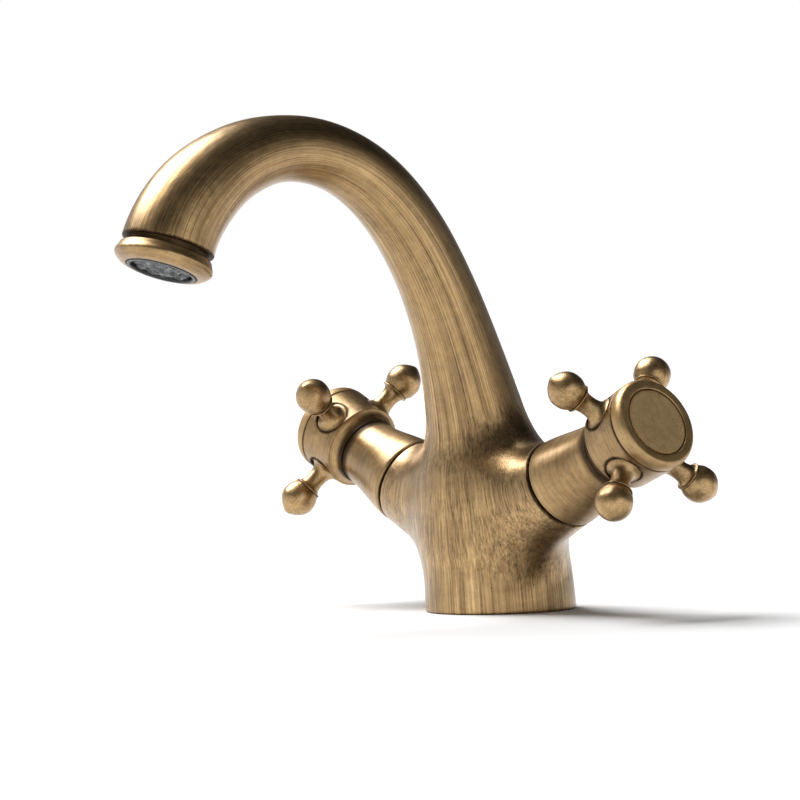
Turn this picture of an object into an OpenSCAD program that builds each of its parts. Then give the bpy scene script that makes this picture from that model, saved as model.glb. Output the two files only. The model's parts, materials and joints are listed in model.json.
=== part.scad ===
// Two-handle basin mixer: swan-neck spout on a flared foot, ceramic quarter-turn valves and cross handles.
// +Z is up, the spout reaches towards -Y, the handles point to +X and -X,
// and the origin is the centre of the foot's underside.

/* [Neck and spout] */
// Height of the crown's top above the deck
height = 140; // [130:1:170]
// Distance along Y from the foot's middle to the middle of the outlet
reach = 115.4; // [108:0.2:140]
// Height of the middle of the outlet above the deck
outlet_height = 97.2; // [85:0.2:108]
// Tilt of the outlet away from straight down, in degrees
outlet_tilt = 20; // [10:1:28]
// Distance along Y from the foot's middle to the crown
crown_reach = 71; // [60:1:80]
// Diameter of the foot
foot_d = 43.2; // [40:0.2:52]
// Diameter of the neck at the crown, its thinnest place
crown_d = 18.2; // [17:0.1:22]
// Diameter of the spout's end
spout_end_d = 25.4; // [24.8:0.1:30.5]
// Diameter of the waterway inside the neck
waterway_d = 12; // [6:0.5:12.5]

/* [Valve seats] */
// Height at which the two handle axes meet
axis_height = 21.5; // [20:0.5:26]
// Distance that the handle axes stand in front of the foot's middle
axis_forward = 4; // [0:0.5:5]
// Tilt of the handle axes above level, in degrees
axis_tilt = 24; // [18:1:30]
// Distance along the handle axis to the boss's end face
boss_end = 36; // [35:0.5:40]
// Diameter of the boss at its end face
boss_d = 25.4; // [25:0.2:30.5]
// Diameter of the boss where it leaves the neck
boss_root_d = 28.4; // [26:0.2:34]
// Distance along the handle axis to the floor of the valve chamber
seat_floor = 14; // [13:0.5:17]
// Diameter of the valve chamber and its thread
chamber_d = 19; // [18.4:0.1:20]
// Diameter of the water hole in the valve chamber's floor
seat_hole_d = 8; // [6:0.5:8.5]

/* [Supply connections] */
// Distance of each hose inlet from the foot's middle
inlet_offset = 8.5; // [7:0.5:10]
// Diameter of each hose inlet's thread, M10 x 1 at its crests
inlet_d = 9; // [8:0.1:10.5]
// Depth of each hose inlet's thread
inlet_depth = 14; // [10:1:16]
// Diameter of the supply channel above the inlet's thread
channel_d = 6.4; // [5:0.2:7]
// Diameter of the fixing stud's thread, M8 at its crests
stud_d = 6.8; // [5:0.1:8]
// Depth of the fixing stud's thread
stud_depth = 14; // [10:1:18]
// Distance of the fixing stud behind the foot's middle
stud_back = 10; // [9:0.5:11]
// Middle diameter of the foot gasket
gasket_ring_d = 37.4; // [36.8:0.2:38]
// Width and height of the foot gasket
gasket_w = 2.2; // [1.6:0.1:2.6]

/* [Cartridge] */
// Diameter of the ceramic discs
disc_d = 14.4; // [12:0.2:14.6]
// Thickness of each ceramic disc
disc_h = 2.5; // [2:0.1:3]
// Thickness of the rubber seat seal
seal_h = 1.9; // [1.5:0.1:2.5]
// Diameter of the stem's shaft
stem_d = 8; // [6:0.2:8.4]
// Diameter of the neck that carries the bonnet
cartridge_neck_d = 14; // [12:0.2:15]
// Distance across the flats of the cartridge's hexagon
hex_af = 17; // [15:0.5:19]
// Turn of the stem from closed to fully open, in degrees
valve_turn = 90; // [60:5:95]
// Number of teeth on the stem's spline
spline_teeth = 20; // [12:1:28]

/* [Bonnet] */
// Diameter of the bonnet at its wide end
bonnet_d = 25.6; // [25:0.2:30.6]
// Diameter of the bonnet at its narrow end
bonnet_end_d = 19.8; // [19:0.1:22]
// Length of the bonnet
bonnet_l = 21.9; // [21.5:0.1:22.2]
// Wall of the bonnet
bonnet_wall = 1.2; // [0.8:0.1:1.3]

/* [Handle] */
// Diameter of the hub at its back rim
hub_back_d = 25.1; // [24.8:0.2:30]
// Diameter of the hub at the cap
hub_d = 26.3; // [25.4:0.1:31.5]
// Length of the hub, with its neck inside the bonnet's collar
hub_l = 20.7; // [20.2:0.1:23]
// Height of the cap above the hub
cap_h = 3.9; // [3.4:0.1:5]
// Diameter of the button set into the cap
button_d = 18.9; // [16:0.1:19.4]
// Turn of the first arm around the handle axis, in degrees
arm_turn = 51.7; // [0:0.1:90]
// Distance from the handle axis to the middle of an arm's ball
arm_reach = 24; // [23:0.5:30]
// Diameter of an arm's ball
ball_d = 10.3; // [9:0.1:12.6]
// Diameter of an arm at its waist
waist_d = 5.4; // [4.4:0.1:7]
// Diameter of an arm's foot
arm_foot_d = 9.7; // [8.5:0.1:10]
// Diameter of an arm's threaded stud
arm_stud_d = 5; // [4:0.1:6]

/* [Aerator] */
// Diameter of the aerator's thread, about M21.5 x 1
aerator_thread_d = 21; // [19.4:0.1:21.6]
// Diameter of the aerator's ring
aerator_d = 27; // [26:0.2:30]
// Diameter of the aerator's mouth
mouth_d = 19.2; // [17:0.1:19.4]
// Height of the aerator's ring
ring_h = 5.5; // [5:0.1:6.5]
// Gap between the aerator's ring and the spout's end
ring_gap = 1.6; // [1:0.1:2.5]
// Length of the aerator's thread
aerator_thread_l = 6; // [5:0.5:7]

/* [Hidden] */
$fn = 64;
brass = "darkgoldenrod";
bright = "goldenrod";
rubber = [0.12, 0.12, 0.12];
ceramic = "ivory";
steel = "silver";
plastic = "lightgray";

fit_gap = 0.05;        // running fits and threads, on the radius
seat_gap = 0.1;        // between faces that turn against each other
loose = 0.4;           // between pieces that only pass each other
overshoot = 1;         // how far a cut runs past the face that it opens

// Neck: two curves meet at the crown, and the diameter eases from station to station along them.
neck_sides = 32;
rise_rings = 34;
fall_rings = 14;
foot_lean = 4;
foot_pull = 69;
crown_pull_back = 46;
crown_pull_front = 18.5;
outlet_pull = 16;
outlet_up = [sin(outlet_tilt), cos(outlet_tilt)];
outlet_point = [-reach, outlet_height];
spout_end_w = ring_h + ring_gap;
spout_end = outlet_point + spout_end_w * outlet_up;
crown_point = [-crown_reach, height - crown_d / 2];
rise_curve = [[0, 0], [-foot_lean, foot_pull], crown_point + [crown_pull_back, 0], crown_point];
fall_curve = [crown_point, crown_point - [crown_pull_front, 0], spout_end + outlet_pull * outlet_up, spout_end];
rise_d = [foot_d, 39.3, 30.3, 24.2, 21.2, 20, 19.2, 18.4, crown_d];
fall_d = [crown_d, 20.5, 23.8, spout_end_d];

// Waterway: from the mixing chamber low in the neck to the aerator's shoulder.
waterway_sides = 16;
waterway_rings = 30;
waterway_start = 0.2;
mix_port_along = 20;
mix_port_d = 5.4;
mix_z = 46;

// Along the handle axis, from the point where the two axes meet.
seat_hole_start = 9;
boss_root = 10;
disc_floor = seat_floor + seal_h + seat_gap;
disc_split = disc_floor + disc_h;
moving_floor = disc_split + fit_gap;
stem_foot = moving_floor + disc_h + fit_gap;
stem_foot_h = 3;
tongue_w = 2.5;
tongue_h = 0.8;
notch_h = 1.3;
notch_half = 38;
skirt_d = disc_d + 2;
skirt_foot = seat_floor + 1.2;
disc_bore_d = disc_d + 0.4;
cavity_top = stem_foot + stem_foot_h + 0.3;
thread_start = 26.5;
flange_gasket_h = 0.5;
flange_start = boss_end + flange_gasket_h;
flange_d = 22.4;
flange_h = 1.8;
hex_start = flange_start + flange_h;
hex_h = 3.7;
cartridge_neck_start = hex_start + hex_h;
window_w = 6;
window_low = moving_floor;
window_high = stem_foot;
bonnet_gap = 0.8;
bonnet_steps = 12;
bonnet_start = boss_end + bonnet_gap;
bonnet_end = bonnet_start + bonnet_l;
bonnet_plate_h = 2;
bonnet_collar_l = 5;
bonnet_collar_wall = 0.9;
bonnet_belly = 7.2;
bonnet_pull = 7.7;
plate_end = bonnet_end - bonnet_collar_l;
cartridge_top = plate_end - 0.7;
clip_start = cartridge_top + seat_gap;
clip_h = 0.6;
clip_d = 10.4;
groove_depth = 1.15;
stem_seal_along = [40, 45];
stem_seal_w = 1.2;
spline_start = cartridge_top + 1.6;
spline_l = 9.4;
stem_end = spline_start + spline_l;
spline_d = stem_d - 0.3;
spline_depth = 0.45;
stop_in_d = 11;
stop_half = 12;
stop_play = 1.5;

hub_start = plate_end + loose;
hub_end = hub_start + hub_l;
hub_back = bonnet_end + loose;
hub_flare_end = hub_back + 3.5;
hub_flare_d = bonnet_end_d + 0.4;
hub_neck_d = bonnet_end_d - 2 * bonnet_collar_wall - 2 * loose;
hub_cavity_d = 15.2;
hub_cavity_h = 1.2;
hub_web = stem_end + 0.3;
hub_web_h = 2.4;
screw_d = 4.2;
screw_head_d = 9;
screw_head_h = 3.2;
screw_l = 8;
screw_hex_af = 3;
screw_room_d = 12;
arm_along = hub_end - 6.75;
cap_thread_d = 21;
cap_spigot_h = 3;
cap_room = hub_end - cap_spigot_h - 0.5;
cap_start = hub_end + seat_gap;
cap_top_d = 23.4;
button_h = 1.2;
button_gap = 0.4;
button_sink = 0.1;
seam_w = 0.35;

// Along an arm, from the handle axis.
arm_count = 4;
arm_seat = 11.6;
arm_foot_h = 0.4;
arm_foot_gap = 0.25;
arm_stud_start = 7.5;
arm_waist = 16.2;
collar = arm_reach - 4.7;
collar_h = 0.5;
collar_d = 8.5;
collar_neck_d = 7;
ball_back = 7.6;
ball_front = 5.4;
arm_steps = 8;

// Along the outlet, upwards from the mouth.
screen_start = 1.6;
screen_h = 0.9;
aerator_bore_d = 18.4;
mouth_ledge_d = 17;
aerator_end = spout_end_w + aerator_thread_l;
aerator_gasket_h = 1.5;
aerator_floor = aerator_end + aerator_gasket_h;
insert_start = screen_start + screen_h + fit_gap;
insert_h = 8;
filter_h = 0.8;

// Places children along the right or the left handle axis, which becomes their +Z.
module on_handle(side) {
    mirror([side == "left" ? 1 : 0, 0, 0])
        translate([0, -axis_forward, axis_height])
            rotate([0, 90 - axis_tilt, 0])
                children();
}

// Places children along the outlet, +Z up into the spout.
module on_outlet() {
    translate([0, outlet_point.x, outlet_point.y])
        rotate([-outlet_tilt, 0, 0])
            children();
}

// Cylinder between two heights on the present axis.
module rod(low, high, d) {
    translate([0, 0, low])
        cylinder(h = high - low, d = d);
}

// Ring between two heights on the present axis.
module washer(low, high, inner, outer) {
    difference() {
        rod(low, high, outer);
        rod(low - overshoot, high + overshoot, inner);
    }
}

// Straight drilling from one point to another.
module drilling(from, to, d) {
    way = to - from;
    translate(from)
        rotate([0, acos(way.z / norm(way)), atan2(way.y, way.x)])
            cylinder(h = norm(way), d = d);
}

function bezier(p, u) =
    let (w = 1 - u)
    pow(w, 3) * p[0] + 3 * w * w * u * p[1] + 3 * w * u * u * p[2] + pow(u, 3) * p[3];

function bezier_way(p, u) =
    let (w = 1 - u, way = w * w * (p[1] - p[0]) + 2 * w * u * (p[2] - p[1]) + u * u * (p[3] - p[2]))
    way / norm(way);

// Value at u from 0 to 1 through evenly spaced stations, smooth through each of them.
function eased(list, u) =
    let (
        last = len(list) - 1,
        i = min(floor(u * last), last - 1),
        f = u * last - i,
        a = list[i],
        b = list[i + 1],
        slope_a = i == 0 ? 0 : (b - list[i - 1]) / 2,
        slope_b = i == last - 1 ? b - a : (list[i + 2] - a) / 2
    )
    (2 * pow(f, 3) - 3 * f * f + 1) * a + (pow(f, 3) - 2 * f * f + f) * slope_a
    + (3 * f * f - 2 * pow(f, 3)) * b + (pow(f, 3) - f * f) * slope_b;

// One ring of a tube in the YZ plane: middle, direction and radius give its points.
function ring(middle, way, r, sides) = [
    for (k = [0 : sides - 1])
        let (a = 360 * k / sides)
        [r * cos(a), middle.x + r * sin(a) * way.y, middle.y - r * sin(a) * way.x]
];

// Closed tube through rings of the same number of points.
module tube(rings, sides) {
    count = len(rings);
    points = [for (r = rings) each r];
    walls = [
        for (i = [0 : count - 2], k = [0 : sides - 1])
            let (n = (k + 1) % sides)
            [i * sides + k, (i + 1) * sides + k, (i + 1) * sides + n, i * sides + n]
    ];
    low = [for (k = [0 : sides - 1]) k];
    high = [for (k = [sides - 1 : -1 : 0]) (count - 1) * sides + k];
    polyhedron(points = points, faces = concat(walls, [low, high]));
}

// Outside of the foot, neck and spout. The first ring lies flat on the deck.
module neck_shape() {
    rise = [
        for (i = [0 : rise_rings])
            let (u = i / rise_rings, way = i == 0 ? [0, 1] : bezier_way(rise_curve, u))
            ring(bezier(rise_curve, u), way, eased(rise_d, u) / 2, neck_sides)
    ];
    fall = [
        for (i = [1 : fall_rings])
            let (u = i / fall_rings)
            ring(bezier(fall_curve, u), bezier_way(fall_curve, u), eased(fall_d, u) / 2, neck_sides)
    ];
    tube(concat(rise, fall), neck_sides);
}

// Waterway from the mixing chamber, over the crown, to the aerator's bore.
module waterway_shape() {
    rise = [
        for (i = [0 : waterway_rings])
            let (u = waterway_start + (1 - waterway_start) * i / waterway_rings)
            ring(bezier(rise_curve, u), bezier_way(rise_curve, u), waterway_d / 2, waterway_sides)
    ];
    fall = [
        for (i = [1 : fall_rings])
            let (u = i / fall_rings)
            ring(bezier(fall_curve, u), bezier_way(fall_curve, u), waterway_d / 2, waterway_sides)
    ];
    tube(concat(rise, fall), waterway_sides);
}

// Boss of one valve, before its chamber is bored.
module boss(side) {
    on_handle(side)
        translate([0, 0, boss_root])
            cylinder(h = boss_end - boss_root, d1 = boss_root_d, d2 = boss_d);
}

// Valve chamber, seat hole and supply channel of one side, with the way to the mixing chamber.
module valve_passages(side) {
    on_handle(side) {
        rod(seat_floor, boss_end + overshoot, chamber_d);
        rod(seat_hole_start, seat_floor + overshoot, seat_hole_d);
    }
    out = side == "left" ? -1 : 1;
    side_way = [out * cos(axis_tilt), 0, sin(axis_tilt)];
    side_up = [-out * sin(axis_tilt), 0, cos(axis_tilt)];
    port = [0, -axis_forward, axis_height] + mix_port_along * side_way + (chamber_d / 2 - 1) * side_up;
    drilling(port, [0, -axis_forward - 1, mix_z], mix_port_d);
    channel_top = axis_height + inlet_offset * tan(axis_tilt);
    translate([out * inlet_offset, -axis_forward, 0]) {
        rod(-overshoot, inlet_depth, inlet_d);
        rod(0, channel_top, channel_d);
    }
}

module faucet_body() {
    color(brass)
        difference() {
            union() {
                neck_shape();
                boss("right");
                boss("left");
            }
            valve_passages("right");
            valve_passages("left");
            waterway_shape();
            on_outlet()
                rod(0, aerator_floor, aerator_thread_d + 2 * fit_gap);
            translate([0, stud_back, 0])
                rod(-overshoot, stud_depth, stud_d);
            washer(-overshoot, gasket_w, gasket_ring_d - gasket_w, gasket_ring_d + gasket_w);
        }
}

module foot_gasket() {
    color(rubber)
        washer(0, gasket_w - fit_gap, gasket_ring_d - gasket_w + 2 * fit_gap, gasket_ring_d + gasket_w - 2 * fit_gap);
}

// Outline points of the aerator's ring: a rolled lip, a belly and a waist under the spout.
function aerator_ring_outline() =
    let (
        belly = ring_h / 2,
        lip = mouth_d / 2 + 0.6,
        shoulder_r = aerator_thread_d / 2 + 0.5,
        roll = aerator_d / 2 - lip,
        round_top = aerator_d / 2 - shoulder_r
    )
    concat(
        [[mouth_d / 2, 0], [lip, 0]],
        [for (a = [-75 : 15 : 0]) [lip + roll * cos(a), belly + (belly - 0.2) * sin(a)]],
        [for (a = [15 : 15 : 75]) [shoulder_r + round_top * cos(a), belly + belly * sin(a)]],
        [[shoulder_r, ring_h], [shoulder_r, spout_end_w + 0.2], [aerator_thread_d / 2, spout_end_w + 0.2],
         [aerator_thread_d / 2, aerator_end], [aerator_bore_d / 2, aerator_end], [aerator_bore_d / 2, screen_start],
         [mouth_ledge_d / 2, screen_start], [mouth_ledge_d / 2, 0.9]]
    );

module aerator_ring() {
    color(brass)
        on_outlet()
            difference() {
                rotate_extrude()
                    polygon(aerator_ring_outline());
                washer(spout_end_w, spout_end_w + 0.2 + fit_gap, aerator_thread_d, aerator_thread_d + 4);
            }
}

// Outlet screen: rings joined by spokes.
module aerator_screen() {
    color(steel)
        on_outlet()
            union() {
                for (d = [4, 8, 12])
                    washer(screen_start, screen_start + screen_h, d - 1.4, d);
                washer(screen_start, screen_start + screen_h, 15.2, aerator_bore_d - 2 * fit_gap);
                translate([0, 0, screen_start])
                    linear_extrude(screen_h)
                        for (a = [0 : 45 : 135])
                            rotate(a)
                                square([16, 0.8], center = true);
            }
}

// Plastic cage behind the screen, with a plate of jets at its top.
module aerator_insert() {
    jets = 12;
    plate_h = 1.2;
    color(plastic)
        on_outlet()
            difference() {
                rod(insert_start, insert_start + insert_h, aerator_bore_d - 2 * fit_gap);
                rod(insert_start - overshoot, insert_start + insert_h - plate_h, aerator_bore_d - 2.4);
                for (k = [0 : jets - 1])
                    rotate(360 * k / jets)
                        translate([aerator_bore_d / 2 - 3, 0, 0])
                            rod(insert_start, insert_start + insert_h + overshoot, 1.4);
            }
}

// Debris filter on top of the cage.
module aerator_filter() {
    holes = 6;
    color(steel)
        on_outlet()
            difference() {
                rod(insert_start + insert_h + fit_gap, aerator_end - fit_gap, aerator_bore_d - 2 * fit_gap);
                rod(insert_start + insert_h, insert_start + insert_h + 1, aerator_bore_d - 2);
                for (k = [0 : holes - 1])
                    rotate(360 * k / holes)
                        translate([5, 0, 0])
                            rod(insert_start + insert_h, aerator_end + overshoot, 2);
            }
}

module aerator_gasket() {
    color(rubber)
        on_outlet()
            washer(aerator_end, aerator_floor, waterway_d + 2, aerator_thread_d - 0.6);
}

module seat_seal(side) {
    color(rubber)
        on_handle(side)
            washer(seat_floor, seat_floor + seal_h, seat_hole_d + 0.6, disc_d);
}

// Two opposed openings in a ceramic disc, along X and out to a diameter, between two heights.
module disc_openings(low, high, d) {
    side = d * tan(notch_half);
    translate([0, 0, low])
        linear_extrude(high - low)
            for (a = [0, 180])
                rotate(a)
                    intersection() {
                        circle(d = d);
                        translate([1.2, 0])
                            polygon([[0, 0], [d, -side], [d, side]]);
                    }
}

module fixed_disc(side) {
    color(ceramic)
        on_handle(side)
            difference() {
                rod(disc_floor, disc_floor + disc_h, disc_d);
                disc_openings(disc_floor - overshoot, disc_floor + disc_h + overshoot, disc_d - 3);
            }
}

// The moving disc stands closed at rest: its notches, open at the rim, lie across the fixed disc's openings.
module moving_disc(side) {
    color(ceramic)
        on_handle(side)
            difference() {
                rod(moving_floor, moving_floor + disc_h, disc_d - 2 * fit_gap);
                rotate(90)
                    disc_openings(moving_floor - overshoot, moving_floor + notch_h, disc_d + 2);
                tongue(2 * fit_gap);
            }
}

// Bar under the stem's foot that turns the moving disc, or the slot for it when it is grown by play.
module tongue(play) {
    low = moving_floor + disc_h - tongue_h - play / 2;
    wide = tongue_w + play;
    translate([-disc_d / 2 - overshoot, -wide / 2, low])
        cube([disc_d + 2 * overshoot, wide, stem_foot - low + fit_gap]);
}

// Brass cartridge: skirt with windows, thread, flange, hexagon and a neck that carries the bonnet.
module cartridge(side) {
    hex_d = hex_af / cos(30);
    color(bright)
        on_handle(side)
            union() {
                difference() {
                    union() {
                        rod(skirt_foot, thread_start + fit_gap, skirt_d);
                        rod(thread_start, flange_start + fit_gap, chamber_d - 2 * fit_gap);
                        rod(flange_start, hex_start + fit_gap, flange_d);
                        translate([0, 0, hex_start])
                            cylinder(h = hex_h + fit_gap, d = hex_d, $fn = 6);
                        rod(cartridge_neck_start, cartridge_top, cartridge_neck_d);
                    }
                    rod(skirt_foot - overshoot, cavity_top, disc_bore_d);
                    rod(cavity_top - overshoot, cartridge_top + overshoot, stem_d + 2 * fit_gap);
                    translate([-chamber_d / 2, -window_w / 2, window_low])
                        cube([chamber_d, window_w, window_high - window_low]);
                }
                stop_key();
            }
}

// Key inside the cartridge that ends the stem's turn.
module stop_key() {
    low = stem_foot + 0.7;
    translate([0, 0, low])
        rotate([0, 0, -stop_half])
            rotate_extrude(angle = 2 * stop_half)
                translate([stop_in_d / 2 + 0.2, 0])
                    square([(disc_bore_d - stop_in_d) / 2, cavity_top - low + 0.3]);
}

module flange_gasket(side) {
    color(rubber)
        on_handle(side)
            washer(boss_end, flange_start, chamber_d + 0.4, flange_d - 0.4);
}

// Star outline of the spline, as a hole when it is grown by play.
module spline_outline(play) {
    outer = spline_d / 2 + play;
    inner = outer - spline_depth;
    polygon([
        for (k = [0 : 2 * spline_teeth - 1])
            let (r = k % 2 == 0 ? outer : inner, a = 180 * k / spline_teeth)
            [r * cos(a), r * sin(a)]
    ]);
}

// Stem: a foot that drives the moving disc, a sealed shaft and a splined end.
module stem(side) {
    color(bright)
        on_handle(side)
            difference() {
                union() {
                    rod(stem_foot, stem_foot + stem_foot_h, disc_d - 2 * fit_gap);
                    intersection() {
                        tongue(0);
                        rod(moving_floor, stem_foot + 1, disc_d - 2 * fit_gap);
                    }
                    rod(stem_foot + 1, spline_start + fit_gap, stem_d);
                    translate([0, 0, spline_start])
                        linear_extrude(spline_l)
                            spline_outline(0);
                }
                translate([0, 0, stem_foot + 0.5])
                    rotate(-stop_half - stop_play)
                        rotate_extrude(angle = valve_turn + 2 * stop_half + 2 * stop_play)
                            translate([stop_in_d / 2, 0])
                                square([disc_d, stem_foot_h]);
                for (along = stem_seal_along)
                    washer(along, along + stem_seal_w, stem_d - 2 * groove_depth, stem_d + 2);
                washer(clip_start, clip_start + clip_h, stem_d - 2 * groove_depth, stem_d + 2);
                rod(stem_end - screw_l - overshoot, stem_end + overshoot, screw_d);
            }
}

module stem_seals(side) {
    cord_r = stem_seal_w / 2 - fit_gap;
    color(rubber)
        on_handle(side)
            for (along = stem_seal_along)
                translate([0, 0, along + stem_seal_w / 2])
                    rotate_extrude()
                        translate([stem_d / 2 - cord_r, 0])
                            circle(r = cord_r - fit_gap);
}

// Open spring clip in the stem's groove, resting on the cartridge.
module stem_clip(side) {
    color(steel)
        on_handle(side)
            translate([0, 0, clip_start + fit_gap])
                rotate(35)
                    rotate_extrude(angle = 290)
                        translate([stem_d / 2 - groove_depth + fit_gap, 0])
                            square([clip_d / 2 - stem_d / 2 + groove_depth, clip_h - 2 * fit_gap]);
}

// Outside of the bonnet: full near the boss, then drawn in to a nearly straight collar.
function bonnet_outside() =
    let (
        wide = bonnet_d / 2,
        narrow = bonnet_end_d / 2,
        way = [
            [wide, bonnet_start], [wide - 0.3, bonnet_start + bonnet_belly],
            [narrow + 0.2, bonnet_end - bonnet_pull], [narrow, bonnet_end]
        ]
    )
    [for (i = [0 : bonnet_steps]) bezier(way, i / bonnet_steps)];

module bonnet(side) {
    edge = 0.5;
    outside = bonnet_outside();
    plate_start = plate_end - bonnet_plate_h;
    collar_r = bonnet_end_d / 2 - bonnet_collar_wall;
    skirt = [for (p = outside) if (p.y < plate_start) [p.x - bonnet_wall, p.y]];
    skirt_end = skirt[len(skirt) - 1];
    inside = [for (i = [len(skirt) - 1 : -1 : 0]) skirt[i]];
    color(brass)
        on_handle(side)
            difference() {
                rotate_extrude()
                    intersection() {
                        polygon(concat(
                            outside,
                            [[collar_r, bonnet_end], [collar_r, plate_end], [0, plate_end], [0, plate_start]],
                            [[skirt_end.x, plate_start]],
                            inside
                        ));
                        polygon([
                            [0, bonnet_start], [bonnet_d / 2 - edge, bonnet_start],
                            [bonnet_d / 2 + edge, bonnet_start + 2 * edge],
                            [bonnet_d / 2 + edge, bonnet_end], [0, bonnet_end]
                        ]);
                    }
                rod(plate_start - overshoot, plate_end + overshoot, cartridge_neck_d + 2 * fit_gap);
            }
}

// Outline of the hub: a neck inside the bonnet's collar, a hollowed back, a sharp rim and a gentle taper to the cap.
function hub_outline() =
    let (
        neck_r = hub_neck_d / 2,
        flare_r = hub_flare_d / 2,
        rim_r = hub_back_d / 2,
        hollow = [
            [flare_r, hub_back], [flare_r + 0.1, hub_back + 1.5],
            [rim_r - 1.6, hub_flare_end - 0.4], [rim_r - 0.1, hub_flare_end]
        ]
    )
    concat(
        [[0, hub_start], [neck_r, hub_start], [neck_r, hub_back]],
        [for (i = [0 : 8]) bezier(hollow, i / 8)],
        [[rim_r, hub_flare_end + 0.1], [hub_d / 2, hub_end - seam_w], [hub_d / 2 - seam_w, hub_end], [0, hub_end]]
    );

module hub(side) {
    color(brass)
        on_handle(side)
            difference() {
                rotate_extrude()
                    polygon(hub_outline());
                rod(hub_start - overshoot, hub_start + hub_cavity_h, hub_cavity_d);
                translate([0, 0, hub_start])
                    linear_extrude(hub_web - hub_start)
                        spline_outline(fit_gap);
                rod(hub_web - overshoot, hub_end, screw_d + 0.6);
                rod(hub_web + hub_web_h, hub_end, screw_room_d);
                rod(cap_room, hub_end + overshoot, cap_thread_d);
                for (k = [0 : arm_count - 1])
                    along_arm(k) {
                        rod(screw_room_d / 2 - overshoot, arm_seat + overshoot, arm_stud_d + 2 * fit_gap);
                        rod(arm_seat, hub_d, arm_foot_d + 2 * arm_foot_gap);
                    }
            }
}

// Places children along arm number k, with the handle axis as their starting plane.
module along_arm(k) {
    rotate(arm_turn + 360 * k / arm_count)
        translate([0, 0, arm_along])
            rotate([0, 90, 0])
                children();
}

// Outline of an arm: stud, foot, concave waist, thin collar and an acorn-shaped ball.
function arm_outline() =
    let (
        foot_top = arm_seat + arm_foot_h,
        waist_run = arm_waist - foot_top,
        neck_run = collar - arm_waist,
        foot_rise = (arm_foot_d - waist_d) / 2,
        neck_rise = (collar_neck_d - waist_d) / 2,
        cut = -acos(collar_d / ball_d)
    )
    concat(
        [[0, arm_stud_start], [arm_stud_d / 2, arm_stud_start], [arm_stud_d / 2, arm_seat], [arm_foot_d / 2, arm_seat]],
        [for (i = [0 : arm_steps]) let (a = 90 * i / arm_steps)
            [arm_foot_d / 2 - foot_rise * sin(a), foot_top + waist_run * (1 - cos(a))]],
        [for (i = [1 : arm_steps / 2]) let (a = 90 * i / (arm_steps / 2))
            [waist_d / 2 + neck_rise * (1 - cos(a)), arm_waist + neck_run * sin(a)]],
        [[collar_d / 2, collar], [collar_d / 2, collar + collar_h]],
        [for (i = [1 : arm_steps]) let (a = cut * (1 - i / arm_steps))
            [ball_d / 2 * cos(a), arm_reach + ball_back * sin(a)]],
        [for (i = [1 : arm_steps - 1]) let (a = 90 * i / arm_steps)
            [ball_d / 2 * cos(a), arm_reach + ball_front * sin(a)]],
        [[0, arm_reach + ball_front]]
    );

module arm(side, k) {
    color(brass)
        on_handle(side)
            along_arm(k)
                rotate_extrude()
                    polygon(arm_outline());
}

module hub_screw(side) {
    head = hub_web + hub_web_h;
    color(steel)
        on_handle(side)
            difference() {
                union() {
                    rod(stem_end - screw_l, head + fit_gap, screw_d - 2 * fit_gap);
                    rod(head, head + screw_head_h, screw_head_d);
                }
                translate([0, 0, head + 1])
                    cylinder(h = screw_head_h, d = screw_hex_af / cos(30), $fn = 6);
            }
}

// Outline of the cap above the hub: a rolled edge that turns in to a flat face.
function cap_outline() =
    let (face_r = cap_top_d / 2, roll = hub_d / 2 - face_r, top = cap_start + cap_h)
    concat(
        [[0, hub_end - cap_spigot_h], [cap_thread_d / 2 - fit_gap, hub_end - cap_spigot_h],
         [cap_thread_d / 2 - fit_gap, cap_start], [hub_d / 2 - seam_w, cap_start], [hub_d / 2, cap_start + seam_w]],
        [for (a = [0 : 15 : 90]) [face_r + roll * cos(a), cap_start + 1.4 + (cap_h - 1.4) * sin(a)]],
        [[0, top]]
    );

module cap(side) {
    top = cap_start + cap_h;
    wall = 1.6;
    color(brass)
        on_handle(side)
            difference() {
                rotate_extrude()
                    polygon(cap_outline());
                rod(top - button_h - button_gap, top + overshoot, button_d + 2 * button_gap);
                rod(hub_end - cap_spigot_h - overshoot, hub_end - 1, cap_thread_d - 2 * wall);
            }
}

// Round button that marks hot or cold, with a plain face.
module button(side) {
    top = cap_start + cap_h - button_sink;
    color(bright)
        on_handle(side)
            rod(top - button_h, top, button_d);
}

faucet_body();
foot_gasket();
aerator_ring();
aerator_screen();
aerator_insert();
aerator_filter();
aerator_gasket();
for (side = ["right", "left"]) {
    seat_seal(side);
    fixed_disc(side);
    moving_disc(side);
    cartridge(side);
    flange_gasket(side);
    stem(side);
    stem_seals(side);
    stem_clip(side);
    bonnet(side);
    hub(side);
    hub_screw(side);
    cap(side);
    button(side);
    for (k = [1 : arm_count])
        arm(side, k - 1);
}
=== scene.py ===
"""Looks of a two-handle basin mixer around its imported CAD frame.

Lengths are in millimetres and angles in degrees, unless a comment says otherwise.
"""

import json
import math

import bmesh
import bpy
import numpy as np
from mathutils import Matrix, Vector

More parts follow.
